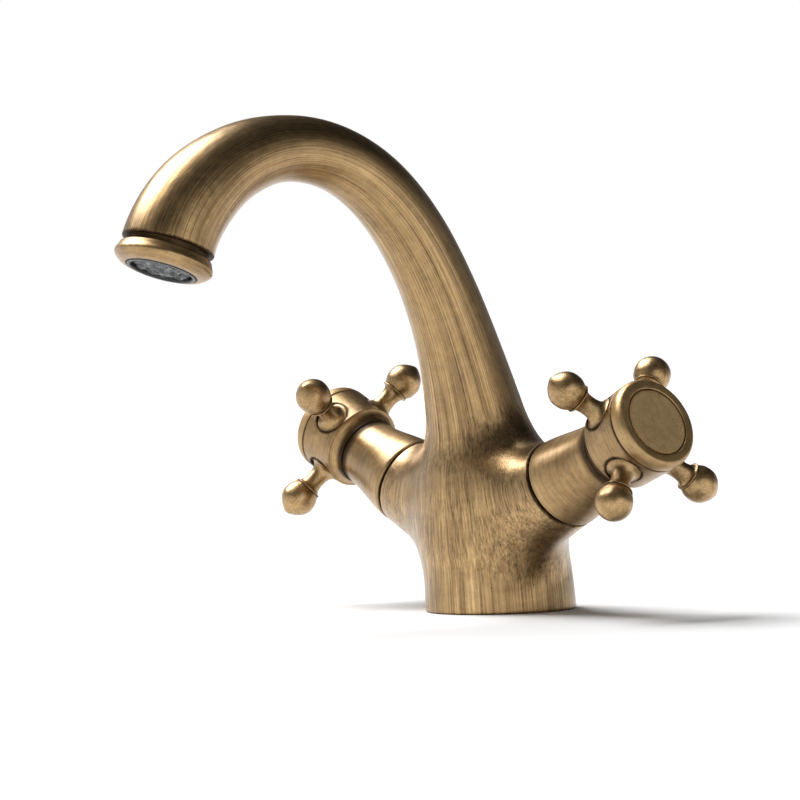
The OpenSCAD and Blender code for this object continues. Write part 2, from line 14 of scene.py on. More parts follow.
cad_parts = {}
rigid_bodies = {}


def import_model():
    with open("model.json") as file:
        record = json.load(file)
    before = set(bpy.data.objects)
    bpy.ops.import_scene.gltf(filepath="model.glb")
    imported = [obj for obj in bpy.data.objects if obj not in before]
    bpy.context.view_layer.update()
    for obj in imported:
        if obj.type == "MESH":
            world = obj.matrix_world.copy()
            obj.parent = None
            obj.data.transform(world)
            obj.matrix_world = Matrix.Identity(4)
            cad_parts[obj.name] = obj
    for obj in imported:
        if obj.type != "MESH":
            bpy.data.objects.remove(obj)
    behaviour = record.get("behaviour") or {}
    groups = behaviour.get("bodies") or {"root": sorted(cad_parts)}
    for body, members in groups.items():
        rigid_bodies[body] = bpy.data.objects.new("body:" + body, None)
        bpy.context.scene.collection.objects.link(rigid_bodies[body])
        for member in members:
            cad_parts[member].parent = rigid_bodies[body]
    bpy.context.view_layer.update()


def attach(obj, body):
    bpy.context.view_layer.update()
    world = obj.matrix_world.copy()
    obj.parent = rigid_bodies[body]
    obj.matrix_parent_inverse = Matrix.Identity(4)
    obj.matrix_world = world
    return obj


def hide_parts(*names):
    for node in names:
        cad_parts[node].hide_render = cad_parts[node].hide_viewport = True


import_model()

MM = 0.001
SIDES = {"right": 1, "left": -1}

# ---------------------------------------------------------------- the object's own sizes
# Neck and outlet. Heights are above the deck, and reaches are forward of the foot's middle.
HEIGHT, REACH, OUTLET_H, OUTLET_TILT = 140.0, 115.4, 97.2, 20.0
CROWN_REACH, FOOT_D, CROWN_D, SPOUT_END_D = 71.0, 43.2, 18.2, 25.4
# Handle axis: where it crosses the body's middle plane, and how far it rises outwards.
AXIS_H, AXIS_FWD, AXIS_TILT = 21.5, 4.0, 24.0
# Bosses and valve chambers, with stations measured outwards along the handle axis.
BOSS_END, BOSS_D, BOSS_ROOT_D, BOSS_ROOT, BOSS_BALL = 36.0, 25.4, 28.4, 10.0, 6.0
SEAT_HOLE_START, SEAT_FLOOR, CHAMBER_D, SEAT_HOLE_D = 9.0, 14.0, 19.0, 8.0
# Holes under the foot.
INLET_X, INLET_D, INLET_DEPTH, CHANNEL_D = 8.5, 9.0, 14.0, 6.4
STUD_Y, STUD_D, STUD_DEPTH = 10.0, 6.8, 14.0
GASKET_D, GASKET_W = 37.4, 2.2
# Outlet, with stations measured up into the spout from the aerator's mouth.
SPOUT_END_W, AERATOR_BORE_START, AERATOR_BORE, AERATOR_FLOOR = 7.1, 5.0, 21.1, 14.6
WATERWAY_D, WATERWAY_DEPTH = 12.0, 8.0
# Turned pieces, with stations along the handle axis. The arms' own stations start at that axis.
BONNET_START, BONNET_END, PLATE_END, BONNET_D, BONNET_END_D = 36.8, 58.7, 53.7, 25.6, 19.8
HUB_START, HUB_BACK, HUB_END = 54.1, 59.1, 74.8
ARM_ALONG, ARM_TURN, ARM_REACH, BALL_D = 68.05, 51.7, 24.0, 10.3
ARM_SEAT, ARM_FOOT_D, ARM_POCKET_D = 11.6, 9.7, 10.2
CAP_START, CAP_H, CAP_FACE_D, HUB_D, BUTTON_D = 74.9, 3.9, 23.4, 26.3, 18.9
BUTTON_SEAM = CAP_START + CAP_H - 0.4

ARMS = range(4)
HANDLE_ORIGIN = np.array([0.0, -AXIS_FWD, AXIS_H])
UP = np.array([0.0, math.sin(math.radians(OUTLET_TILT)), math.cos(math.radians(OUTLET_TILT))])
MOUTH = np.array([0.0, -REACH, OUTLET_H])
SPOUT_END = MOUTH + SPOUT_END_W * UP

# How far a cutting tool stands out past the face that it cuts.
PAST = 2.0
# Longest stretch of a tool's outline, which leaves it undivided.
WHOLE = 1000.0
# Points nearer than SAME are one point, and points nearer the axis than ON_AXIS are on it.
SAME, ON_AXIS = 1e-5, 1e-6


# ---------------------------------------------------------------- mesh helpers
def add_object(name, data):
    ob = bpy.data.objects.new(name, data)
    bpy.context.collection.objects.link(ob)
    return ob


def object_from_bmesh(name, bm):
    mesh = bpy.data.meshes.new(name)
    bm.to_mesh(mesh)
    bm.free()
    return add_object(name, mesh)


def write_attribute(ob, key, values):
    """Stores a number or a vector for each vertex, in place of an older one of that name."""
    kind, field = ("FLOAT_VECTOR", "vector") if values.ndim == 2 else ("FLOAT", "value")
    old = ob.data.attributes.get(key)
    if old:
        ob.data.attributes.remove(old)
    ob.data.attributes.new(key, kind, "POINT").data.foreach_set(field, values.astype(np.float32).ravel())


def new_object(name, points, faces, **attributes):
    mesh = bpy.data.meshes.new(name)
    mesh.from_pydata([tuple(v) for v in points * MM], [], [tuple(f) for f in faces])
    mesh.update()
    ob = add_object(name, mesh)
    for key, values in attributes.items():
        write_attribute(ob, key, values)
    return make_normals_outward(ob)


def read_points(ob):
    co = np.empty(len(ob.data.vertices) * 3, np.float32)
    ob.data.vertices.foreach_get("co", co)
    return co.reshape(-1, 3).astype(float) / MM


def smooth(ob, angle=32):
    """Smooth shading, with an edge wherever two faces meet at more than angle."""
    mesh = ob.data
    mesh.polygons.foreach_set("use_smooth", [True] * len(mesh.polygons))
    mesh.set_sharp_from_angle(angle=math.radians(angle))
    return ob


def make_normals_outward(ob):
    bm = bmesh.new()
    bm.from_mesh(ob.data)
    bmesh.ops.recalc_face_normals(bm, faces=bm.faces)
    bm.to_mesh(ob.data)
    bm.free()
    return ob


def handle_axis(side):
    """Unit vector outwards along a side's handle axis."""
    tilt = math.radians(AXIS_TILT)
    return np.array([SIDES[side] * math.cos(tilt), 0, math.sin(tilt)])


def on_handle(side):
    """4x4 that puts local +Z along a side's handle axis; the left one mirrors the right."""
    lean = Matrix.Rotation(math.radians(90 - AXIS_TILT), 4, "Y")
    return Matrix.Diagonal((SIDES[side], 1, 1, 1)) @ Matrix.Translation(tuple(HANDLE_ORIGIN)) @ lean


def on_arm(side, k):
    """4x4 that puts local +Z along arm k of a side's handle."""
    turn = Matrix.Rotation(math.radians(ARM_TURN + 90 * k), 4, "Z")
    out = Matrix.Translation((0, 0, ARM_ALONG)) @ Matrix.Rotation(math.radians(90), 4, "Y")
    return on_handle(side) @ turn @ out


def on_outlet():
    """4x4 that puts local +Z up into the spout, from the aerator's mouth."""
    return Matrix.Translation(tuple(MOUTH)) @ Matrix.Rotation(math.radians(-OUTLET_TILT), 4, "X")


def moved(place, points):
    m = np.array(place)
    return points @ m[:3, :3].T + m[:3, 3]


def bezier(p, u):
    """Cubic through four control points, at each u from 0 to 1."""
    u = u[:, None]
    return ((1 - u) ** 3 * p[0] + 3 * (1 - u) ** 2 * u * p[1]
            + 3 * (1 - u) * u ** 2 * p[2] + u ** 3 * p[3])


def curve(points, steps):
    """Points (r, z) along a Bezier curve."""
    return [tuple(q) for q in bezier(np.array(points, float), np.linspace(0, 1, steps + 1))]


def arc(centre, radius, a, b, steps):
    """Points (r, z) on an arc from a to b. radius is a number or (along r, along z)."""
    rr, rz = (radius, radius) if isinstance(radius, (int, float)) else radius
    return [(centre[0] + rr * math.cos(math.radians(t)), centre[1] + rz * math.sin(math.radians(t)))
            for t in np.linspace(a, b, steps + 1)]


def refine(outline, longest, closed):
    """The outline with its long stretches divided and its repeated points left out."""
    out = []
    pts = list(outline) + ([outline[0]] if closed else [])
    for a, b in zip(pts, pts[1:]):
        n = max(1, math.ceil(math.dist(a, b) / longest))
        out += [(a[0] + (b[0] - a[0]) * i / n, a[1] + (b[1] - a[1]) * i / n) for i in range(n)]
    if not closed:
        out.append(pts[-1])
    clean = [out[0]]
    for p in out[1:]:
        if math.dist(p, clean[-1]) > SAME:
            clean.append(p)
    if closed and math.dist(clean[0], clean[-1]) < SAME:
        clean.pop()
    return clean


def crease_shade(local, creases):
    """Painted shade: 1 on a crease, fading to 0 around it. Each crease is (r, z, reach) about the piece's own
    axis.
    """
    across = np.hypot(local[:, 0], local[:, 1])
    hollow = np.zeros(len(local))
    for r, z, reach in creases:
        hollow = np.maximum(hollow, np.exp(-((across - r) ** 2 + (local[:, 2] - z) ** 2) / reach ** 2))
    return hollow


def lathe(name, outline, place, sides=128, closed=False, longest=1.2, creases=()):
    """Turned piece. An open outline starts and ends on the axis, and a closed one makes a ring."""
    local, rows = [], []
    angles = np.linspace(0, 2 * math.pi, sides, endpoint=False)
    for r, z in refine(outline, longest, closed):
        if r < ON_AXIS:
            rows.append([len(local)])
            local.append((0, 0, z))
        else:
            rows.append(list(range(len(local), len(local) + sides)))
            local += [(r * math.cos(a), r * math.sin(a), z) for a in angles]
    faces = []
    for a, b in list(zip(rows, rows[1:])) + ([(rows[-1], rows[0])] if closed else []):
        for k in range(sides):
            n = (k + 1) % sides
            if len(a) == 1:
                faces.append((a[0], b[n], b[k]))
            elif len(b) == 1:
                faces.append((a[k], a[n], b[0]))
            else:
                faces.append((a[k], a[n], b[n], b[k]))
    local = np.array(local, float)
    # The painted shade in the creases is kept on the mesh for its material.
    return new_object(name, moved(place, local), faces, local=local, hollow=crease_shade(local, creases))


def cutter(name, outline, place, sides=96, closed=False):
    """Turned tool for a boolean cut."""
    return lathe(name, outline, place, sides, closed, WHOLE)


def cut(ob, tools):
    """Takes the tools away from ob, one after another, and removes them."""
    for tool in tools:
        mod = ob.modifiers.new("cut", "BOOLEAN")
        mod.operation = "DIFFERENCE"
        mod.solver = "MANIFOLD"
        mod.object = tool
        bpy.context.view_layer.update()
        dg = bpy.context.evaluated_depsgraph_get()
        made = bpy.data.meshes.new_from_object(ob.evaluated_get(dg))
        ob.modifiers.clear()
        if len(made.polygons) == 0:
            raise RuntimeError(f"{ob.name}: the cut with {tool.name} left nothing")
        old = ob.data
        ob.data = made
        bpy.data.meshes.remove(old)
        mesh = tool.data
        bpy.data.objects.remove(tool)
        bpy.data.meshes.remove(mesh)


# ---------------------------------------------------------------- body: the neck's middle line
CROWN = np.array([-CROWN_REACH, HEIGHT - CROWN_D / 2])
END2, UP2 = SPOUT_END[1:], UP[1:]
# Bezier points (y, z) from the foot up to the crown, and from there down to the spout's end.
RISE = np.array([[0, 0], [-4, 69], CROWN + [46, 0], CROWN])
FALL = np.array([CROWN, CROWN - [18.5, 0], END2 + 16 * UP2, END2])
# The neck's diameter at even stations of each curve.
RISE_D = [FOOT_D, 39.3, 30.3, 24.2, 21.2, 20, 19.2, 18.4, CROWN_D]
FALL_D = [CROWN_D, 20.5, 23.8, SPOUT_END_D]
RISE_POINTS, FALL_POINTS = 1400, 500
# The line runs on past each end for a length, from a first step, in a number of points.
BELOW, BELOW_POINTS = 6, 80
BEYOND, BEYOND_POINTS = 5, 70
FIRST_STEP = 0.05
# Points looked up at once, which limits the memory used.
CHUNK = 20000


def eased(values, u):
    """Value at u from 0 to 1 through evenly spaced stations, smooth through each of them."""
    v = np.array(values, float)
    last = len(v) - 1
    slopes = np.empty(last + 1)
    slopes[0] = 0
    slopes[1:-1] = (v[2:] - v[:-2]) / 2
    slopes[-1] = v[-1] - v[-2]
    i = np.minimum((u * last).astype(int), last - 1)
    f = u * last - i
    return ((2 * f ** 3 - 3 * f ** 2 + 1) * v[i] + (f ** 3 - 2 * f ** 2 + f) * slopes[i]
            + (3 * f ** 2 - 2 * f ** 3) * v[i + 1] + (f ** 3 - f ** 2) * slopes[i + 1])


def centreline():
    """Points (y, z) on the neck's middle, with its radius, length so far and direction at each."""
    u = np.linspace(0, 1, RISE_POINTS)
    v = np.linspace(0, 1, FALL_POINTS)[1:]
    rad = np.concatenate([eased(RISE_D, u), eased(FALL_D, v)]) / 2
    first = (RISE[1] - RISE[0]) / np.linalg.norm(RISE[1] - RISE[0])
    below = np.array([RISE[0] - first * d for d in np.linspace(BELOW, FIRST_STEP, BELOW_POINTS)])
    beyond = np.array([END2 - UP2 * d for d in np.linspace(FIRST_STEP, BEYOND, BEYOND_POINTS)])
    pts = np.vstack([below, bezier(RISE, u), bezier(FALL, v), beyond])
    rad = np.concatenate([np.full(BELOW_POINTS, rad[0]), rad, np.full(BEYOND_POINTS, rad[-1])])
    s = np.concatenate([[0], np.cumsum(np.linalg.norm(np.diff(pts, axis=0), axis=1))])
    way = np.gradient(pts, axis=0)
    way /= np.linalg.norm(way, axis=1)[:, None]
    return pts, rad, s, way


LINE, LINE_R, LINE_S, LINE_WAY = centreline()


def along_neck(yz):
    """For points (y, z): length along the neck, signed distance from its middle, and its radius there."""
    s, n, r = (np.empty(len(yz)) for _ in range(3))
    for i in range(0, len(yz), CHUNK):
        part = slice(i, i + CHUNK)
        q = yz[part]
        d = (q[:, None, 0] - LINE[None, :, 0]) ** 2 + (q[:, None, 1] - LINE[None, :, 1]) ** 2
        k = d.argmin(1)
        off = q - LINE[k]
        way = LINE_WAY[k]
        step = (off * way).sum(1)
        s[part] = LINE_S[k] + step
        across = off[:, 0] * way[:, 1] - off[:, 1] * way[:, 0]
        # Past the line's ends the distance is to the end point, so the field closes there.
        past = np.maximum(np.abs(step) - 0.2, 0)
        n[part] = np.copysign(np.hypot(across, past), across)
        r[part] = LINE_R[k]
    return s, n, r


# ---------------------------------------------------------------- body: swept neck blended with two bosses
# Width of the blend between neck and boss: least low down, and wider above, from one height to another.
BLEND, BLEND_MORE, BLEND_LOW, BLEND_HIGH = 9, 9, 24, 44
# Corners of the grid that the body is found in, and its step.
GRID_LOW, GRID_HIGH, GRID_STEP, GRID_STEP_QUICK = (-46, -133, -5), (46, 25, 143), 0.7, 0.95
# Sides of the even rings at each end, and how far inside the end face they start.
END_SIDES, END_DEPTH = 128, 3.0
# Within this of an end's middle, the mesh is cut off and finished with those rings.
END_REACH = 34.0
# Radius at which the brushing has its stated width; it is wider where the neck is thicker.
FLOW_R = 14
# Painted shade: in a line up from the deck, and in the seam at each boss and at the spout's end.
PAINTED_DECK_SHADE, PAINTED_DECK_SHADE_H, PAINTED_SEAM_SHADE_W, SEAM_REACH = 0.6, 0.7, 0.55, 15.5


def soft_min(a, b, k):
    """The lesser of two fields, rounded over a width of k where they meet."""
    h = np.maximum(k - np.abs(a - b), 0) / k
    return np.minimum(a, b) - h * h * k / 4


def boss_field(p, side):
    """Distance to a boss's surface. It is a cone outwards, and a ball inside the body."""
    q = p - HANDLE_ORIGIN
    t = q @ handle_axis(side)
    rho = np.sqrt(np.maximum((q * q).sum(-1) - t * t, 0))
    taper = np.clip((t - BOSS_ROOT) / (BOSS_END - BOSS_ROOT), 0, 1.3)
    radius = BOSS_ROOT_D / 2 + (BOSS_D - BOSS_ROOT_D) / 2 * taper
    return np.sqrt(rho ** 2 + np.minimum(t - BOSS_BALL, 0) ** 2) - radius


def body_field(p, line=None):
    """Signed distance, near enough, to the body's outside before its ends are cut."""
    _, n, r = line if line is not None else along_neck(p[:, 1:])
    d = np.sqrt(p[:, 0] ** 2 + n ** 2) - r
    high = np.clip((p[:, 2] - BLEND_LOW) / (BLEND_HIGH - BLEND_LOW), 0, 1)
    width = BLEND + BLEND_MORE * high * high * (3 - 2 * high)
    for side in SIDES:
        d = soft_min(d, boss_field(p, side), width)
    return d


def surface_net(lo, hi, step):
    """Closed quad mesh of the body's outside: a point in each grid cell that the surface crosses."""
    xs, ys, zs = (np.arange(a, b + step, step) for a, b in zip(lo, hi))
    yy, zz = np.meshgrid(ys, zs, indexing="ij")
    flat = np.stack([yy.ravel(), zz.ravel()], 1)
    line = along_neck(flat)
    field = np.empty((len(xs), len(ys), len(zs)), np.float32)
    for i, x in enumerate(xs):
        p = np.column_stack([np.full(len(flat), x), flat])
        field[i] = body_field(p, line).reshape(len(ys), len(zs))
    # The grid's border counts as outside, which closes the mesh where the body reaches it.
    inside = field < 0
    inside[[0, -1]] = False
    inside[:, [0, -1]] = False
    inside[:, :, [0, -1]] = False
    field = np.where(inside == (field < 0), field, 1e-3)
    cells = np.zeros(tuple(n - 1 for n in field.shape), np.int8)
    for c in np.ndindex(2, 2, 2):
        cells += inside[tuple(slice(a, n - 1 + a) for a, n in zip(c, field.shape))]
    live = np.argwhere((cells > 0) & (cells < 8))
    index = -np.ones(cells.shape, np.int64)
    index[tuple(live.T)] = np.arange(len(live))
    # Each cell's point is the middle of the crossings on its twelve edges.
    total, count = np.zeros((len(live), 3)), np.zeros(len(live))
    for axis in range(3):
        others = [a for a in range(3) if a != axis]
        for c in np.ndindex(2, 2):
            a = live.copy()
            a[:, others] += c
            b = a.copy()
            b[:, axis] += 1
            fa, fb = field[tuple(a.T)], field[tuple(b.T)]
            hit = (fa < 0) != (fb < 0)
            t = np.where(hit, fa / np.where(hit, fa - fb, 1), 0)
            point = a.astype(float)
            point[:, axis] += t
            total[hit] += point[hit]
            count[hit] += 1
    verts = total / count[:, None] * step + np.array([xs[0], ys[0], zs[0]])
    # Each grid edge that the surface crosses makes a quad of the four cells around it.
    faces = []
    for axis in range(3):
        u, v = (axis + 1) % 3, (axis + 2) % 3
        first, second = [slice(None)] * 3, [slice(None)] * 3
        first[axis], second[axis] = slice(0, -1), slice(1, None)
        at = np.argwhere(inside[tuple(first)] != inside[tuple(second)])
        at = at[(at[:, u] > 0) & (at[:, v] > 0)]
        quad = []
        for du, dv in ((-1, -1), (0, -1), (0, 0), (-1, 0)):
            q = at.copy()
            q[:, u] += du
            q[:, v] += dv
            quad.append(index[tuple(q.T)])
        quad = np.stack(quad, 1)
        flip = ~inside[tuple(at.T)]
        quad[flip] = quad[flip][:, ::-1]
        faces.append(quad)
    return verts, np.vstack(faces)


def settle(p, rounds=3, e=0.05):
    """Moves points onto the body's surface along its slope, measured over e."""
    for _ in range(rounds):
        f = body_field(p)
        g = np.stack([(body_field(p + e * np.eye(3)[a]) - f) / e for a in range(3)], 1)
        p = p - (f / (g * g).sum(1))[:, None] * g
    return p


def edge_radius(centre, ray, start=8.0, stop=26.0, rounds=28):
    """Distance from centre to the surface along each ray, by halving from start and stop."""
    lo, hi = np.full(len(ray), start), np.full(len(ray), stop)
    for _ in range(rounds):
        mid = (lo + hi) / 2
        f = body_field(centre + ray * mid[:, None])
        hi = np.where(f > 0, mid, hi)
        lo = np.where(f > 0, lo, mid)
    return (lo + hi) / 2


def finish_end(bm, centre, axis, rounding):
    """Cuts the mesh square to axis and closes it with even rings, a rounded edge and a flat face."""
    e1 = np.array([0.0, 1.0, 0.0]) if abs(axis[0]) > 0.5 else np.array([1.0, 0.0, 0.0])
    e2 = np.cross(axis, e1)
    cut_at = centre - axis * END_DEPTH
    near = [v for v in bm.verts if (v.co - Vector(centre * MM)).length < END_REACH * MM]
    chosen = set(near)
    edges = [e for e in bm.edges if e.verts[0] in chosen and e.verts[1] in chosen]
    faces = [f for f in bm.faces if all(v in chosen for v in f.verts)]
    bmesh.ops.bisect_plane(bm, geom=near + edges + faces, dist=1e-7, plane_co=Vector(cut_at * MM),
                           plane_no=Vector(axis), clear_outer=True)
    rim = [e for e in bm.edges if e.is_boundary]
    angles = np.linspace(0, 2 * math.pi, END_SIDES, endpoint=False)
    ray = np.cos(angles)[:, None] * e1 + np.sin(angles)[:, None] * e2
    first, straight = 0.35, 4
    rings = []
    for i in range(straight + 1):
        c = cut_at + axis * (first + i * (END_DEPTH - rounding - first) / straight)
        rings.append(c + ray * edge_radius(c, ray)[:, None])
    c = centre - axis * rounding
    r = edge_radius(c, ray)
    for a in np.radians([15, 30, 45, 60, 75, 90]):
        rings.append(c + axis * rounding * math.sin(a) + ray * (r - rounding * (1 - math.cos(a)))[:, None])
    made = [[bm.verts.new(Vector(p * MM)) for p in ring] for ring in rings]
    ring_edges = [bm.edges.new((made[0][k], made[0][(k + 1) % END_SIDES])) for k in range(END_SIDES)]
    bmesh.ops.bridge_loops(bm, edges=rim + ring_edges)
    for a, b in zip(made, made[1:]):
        for k in range(END_SIDES):
            n = (k + 1) % END_SIDES
            bm.faces.new((a[k], a[n], b[n], b[k]))
    bm.faces.new(made[-1])


def body_ends():
    """Each end of the body, the foot first: its middle, its outward direction and its edge's rounding."""
    ends = [(np.zeros(3), np.array([0.0, 0.0, -1.0]), 0.7)]
    for side in SIDES:
        ends.append((HANDLE_ORIGIN + handle_axis(side) * BOSS_END, handle_axis(side), 0.9))
    return ends + [(SPOUT_END, -UP, 0.45)]


def body_tools():
    """What is cut out of the body: chambers, supply channels, stud hole, gasket groove, aerator bore."""
    tools = []
    for side in SIDES:
        seat, chamber = SEAT_HOLE_D / 2, CHAMBER_D / 2
        tools.append(cutter("tool_chamber", [
            (0, SEAT_HOLE_START), (seat, SEAT_HOLE_START), (seat, SEAT_FLOOR), (chamber, SEAT_FLOOR),
            (chamber, BOSS_END + PAST), (0, BOSS_END + PAST)], on_handle(side)))
        top = AXIS_H + INLET_X * math.tan(math.radians(AXIS_TILT))
        tools.append(cutter("tool_inlet", [
            (0, -PAST), (INLET_D / 2, -PAST), (INLET_D / 2, INLET_DEPTH), (CHANNEL_D / 2, INLET_DEPTH),
            (CHANNEL_D / 2, top), (0, top)], Matrix.Translation((SIDES[side] * INLET_X, -AXIS_FWD, 0)), 64))
    tools.append(cutter("tool_stud", [
        (0, -PAST), (STUD_D / 2, -PAST), (STUD_D / 2, STUD_DEPTH), (0, STUD_DEPTH)],
        Matrix.Translation((0, STUD_Y, 0)), 64))
    inner, outer = GASKET_D / 2 - GASKET_W / 2, GASKET_D / 2 + GASKET_W / 2
    tools.append(cutter("tool_groove", [
        (inner, -PAST), (outer, -PAST), (outer, GASKET_W), (inner, GASKET_W)], Matrix.Identity(4), closed=True))
    bore, way, way_end = AERATOR_BORE / 2, WATERWAY_D / 2, AERATOR_FLOOR + WATERWAY_DEPTH
    tools.append(cutter("tool_aerator", [
        (0, AERATOR_BORE_START), (bore, AERATOR_BORE_START), (bore, AERATOR_FLOOR), (way, AERATOR_FLOOR),
        (way, way_end), (0, way_end)], on_outlet()))
    return tools


def make_body():
    verts, faces = surface_net(GRID_LOW, GRID_HIGH, GRID_STEP)
    bm = bmesh.new()
    made = [bm.verts.new(v) for v in settle(verts) * MM]
    for f in faces:
        bm.faces.new([made[i] for i in f])
    for centre, axis, rounding in body_ends():
        finish_end(bm, centre, axis, rounding)
    bmesh.ops.remove_doubles(bm, verts=bm.verts, dist=2e-6)
    bmesh.ops.recalc_face_normals(bm, faces=bm.faces)
    ob = object_from_bmesh("mixer_body", bm)
    cut(ob, body_tools())
    p = read_points(ob)
    s, n, r = along_neck(p[:, 1:])
    # Painted shade, darkest at the foot's bottom edge and in each end's seam.
    hollow = PAINTED_DECK_SHADE * np.exp(-(p[:, 2] / PAINTED_DECK_SHADE_H) ** 2)
    for centre, axis, _ in body_ends()[1:]:
        off = p - centre
        seam = np.exp(-(off @ axis / PAINTED_SEAM_SHADE_W) ** 2)
        hollow = np.maximum(hollow, np.where(np.linalg.norm(off, axis=1) < SEAM_REACH, seam, 0))
    around = FLOW_R / r
    write_attribute(ob, "flow", np.column_stack([p[:, 0] * around, n * around, s]))
    write_attribute(ob, "hollow", hollow)
    return smooth(ob, 35)


def keep(ob, body, slot, *nodes):
    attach(ob, body)
    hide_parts(*nodes)


keep(make_body(), "faucet_body", "body_brass", "faucet_body")


# ---------------------------------------------------------------- turned pieces, as outlines (r, z)
def bonnet_outline():
    lip, edge, wall, shaft_hole = 0.8, 0.3, 1.2, 7.05
    wide, narrow = BONNET_D / 2, BONNET_END_D / 2
    outside = curve([(wide, BONNET_START + lip), (wide - 0.3, BONNET_START + 7.2),
                     (narrow + 0.2, BONNET_END - 7.7), (narrow, BONNET_END - edge)], 40)
    plate = PLATE_END - 2
    skirt = [(r - wall, z) for r, z in outside if z < plate]
    collar = narrow - 0.9
    return (arc((wide - lip, BONNET_START + lip), lip, -90, 0, 8)[:-1]
            + outside[:-1]
            + arc((narrow - edge, BONNET_END - edge), edge, 0, 90, 5)
            + [(collar, BONNET_END), (collar, PLATE_END), (shaft_hole, PLATE_END), (shaft_hole, plate)]
            + [(skirt[-1][0], plate)] + skirt[::-1] + [(wide - wall, BONNET_START)])


def hub_outline():
    neck, flare, rim, rim_t = 8.6, BONNET_END_D / 2 + 0.2, 12.5, HUB_BACK + 3.4
    stem_hole, spigot, step = 4.0, 7.6, HUB_START + 1.2
    cap_pocket, cap_floor = 10.5, HUB_END - 3.5
    screw_pocket, screw_floor = 6, 66.7
    return ([(stem_hole, step), (spigot, step), (spigot, HUB_START), (neck, HUB_START), (neck, HUB_BACK)]
            + curve([(flare, HUB_BACK), (flare + 0.1, HUB_BACK + 1.5),
                     (rim - 1.6, rim_t - 0.5), (rim - 0.12, rim_t - 0.1)], 18)
            + [(rim, rim_t + 0.08), (HUB_D / 2 - 0.04, HUB_END - 0.5)]
            + arc((HUB_D / 2 - 0.45, HUB_END - 0.42), 0.42, 5, 90, 6)
            + [(cap_pocket, HUB_END), (cap_pocket, cap_floor), (screw_pocket, cap_floor),
               (screw_pocket, screw_floor), (stem_hole, screw_floor)])


def arm_outline():
    foot, waist, ball, peg = ARM_FOOT_D / 2, 2.7, BALL_D / 2, 2.5
    base, foot_top, collar = ARM_SEAT + 0.05, ARM_SEAT + 0.5, ARM_REACH - 4.7
    return ([(0, 7.5), (peg, 7.5), (peg, base), (foot, base), (foot, foot_top)]
            + curve([(foot, foot_top), (foot - 1.9, 12.6), (waist, 14.4), (waist, 16.2)], 22)[1:]
            + curve([(waist, 16.2), (waist, 17.9), (3.1, 18.9), (3.62, collar - 0.02)], 14)[1:]
            + arc((3.9, collar + 0.26), (0.32, 0.26), -90, 90, 8)
            + [(3.92, collar + 0.56)]
            + curve([(3.95, collar + 0.6), (4.75, collar + 2.1),
                     (ball, ARM_REACH - 2.3), (ball, ARM_REACH - 0.1)], 22)[1:]
            + curve([(ball, ARM_REACH - 0.1), (ball, ARM_REACH + 2.5),
                     (2.9, ARM_REACH + 4.3), (0.6, ARM_REACH + 5.27)], 28)[1:]
            + [(0, ARM_REACH + 5.38)])


def cap_outline():
    top, rim, shoulder = CAP_START + CAP_H, HUB_D / 2, 1.6
    face = CAP_FACE_D / 2
    inner, floor_z = BUTTON_D / 2 + 0.4, top - 1.6
    plug, skirt, skirt_end = 8.9, 10.45, HUB_END - 3
    return ([(0, HUB_END - 1), (plug, HUB_END - 1), (plug, skirt_end), (skirt, skirt_end),
             (skirt, CAP_START), (rim - 0.5, CAP_START)]
            + arc((rim - 0.45, CAP_START + 0.42), (0.45, 0.42), -90, 0, 6)[1:]
            + [(rim, CAP_START + 1.5)]
            + arc((face, CAP_START + shoulder), (rim - face, CAP_H - shoulder), 0, 90, 18)[1:]
            + arc((inner + 0.25, top - 0.25), 0.25, 90, 180, 5)
            + [(inner, floor_z), (0, floor_z)])


def button_outline():
    top, r, edge = CAP_START + CAP_H - 0.1, BUTTON_D / 2, 0.25
    return ([(0, top - 1.2), (r, top - 1.2), (r, top - 0.22)]
            + arc((r - edge, top - edge), edge, 0, 90, 5) + [(0, top)])


def aerator_outline():
    bore, lip, thread, thread_end = 9.2, 8.5, 10.5, 13.1
    return ([(bore, thread_end), (bore, 1.6), (lip, 1.6), (lip, 0.95), (9.62, 0.9), (9.62, 0.5)]
            + arc((9.85, 0.5), 0.23, 180, 270, 5)[1:]
            + curve([(9.85, 0.27), (10.6, 0.27), (11.4, 0.5), (11.9, 0.85)], 10)[1:]
            + curve([(11.9, 0.85), (12.9, 1.6), (13.45, 2.0), (13.5, 2.75)], 14)[1:]
            + curve([(13.5, 2.75), (13.5, 3.3), (13.15, 3.7), (12.85, 4.5)], 10)[1:]
            + curve([(12.85, 4.5), (12.7, 4.95), (12.6, 5.5), (12.1, 5.5)], 10)[1:]
            + [(11.2, 5.5), (11.0, 5.6), (11.0, 7.2), (thread, 7.2), (thread, thread_end)])


# Creases (r, z, reach) where shade is painted into the finish, darkest on the crease: seams, and the feet of
# the arms.
BONNET_CREASES = [(BONNET_D / 2 - 0.8, BONNET_START, 0.5), (BONNET_END_D / 2 - 0.4, BONNET_END, 2.6)]
HUB_CREASES = [(9.9, HUB_BACK, 1.9), (HUB_D / 2 - 0.6, HUB_END, 0.7)]
ARM_CREASES = [(ARM_FOOT_D / 2, 11.8, 0.5), (3.95, ARM_REACH - 4.15, 0.25)]
CAP_CREASES = [(HUB_D / 2 - 0.6, CAP_START, 0.7), (BUTTON_D / 2 + 0.1, BUTTON_SEAM, 0.4)]
BUTTON_CREASES = [(BUTTON_D / 2, BUTTON_SEAM, 0.5)]
RING_CREASES = [(11.3, 6.1, 1.7), (9.6, 0.5, 0.5)]


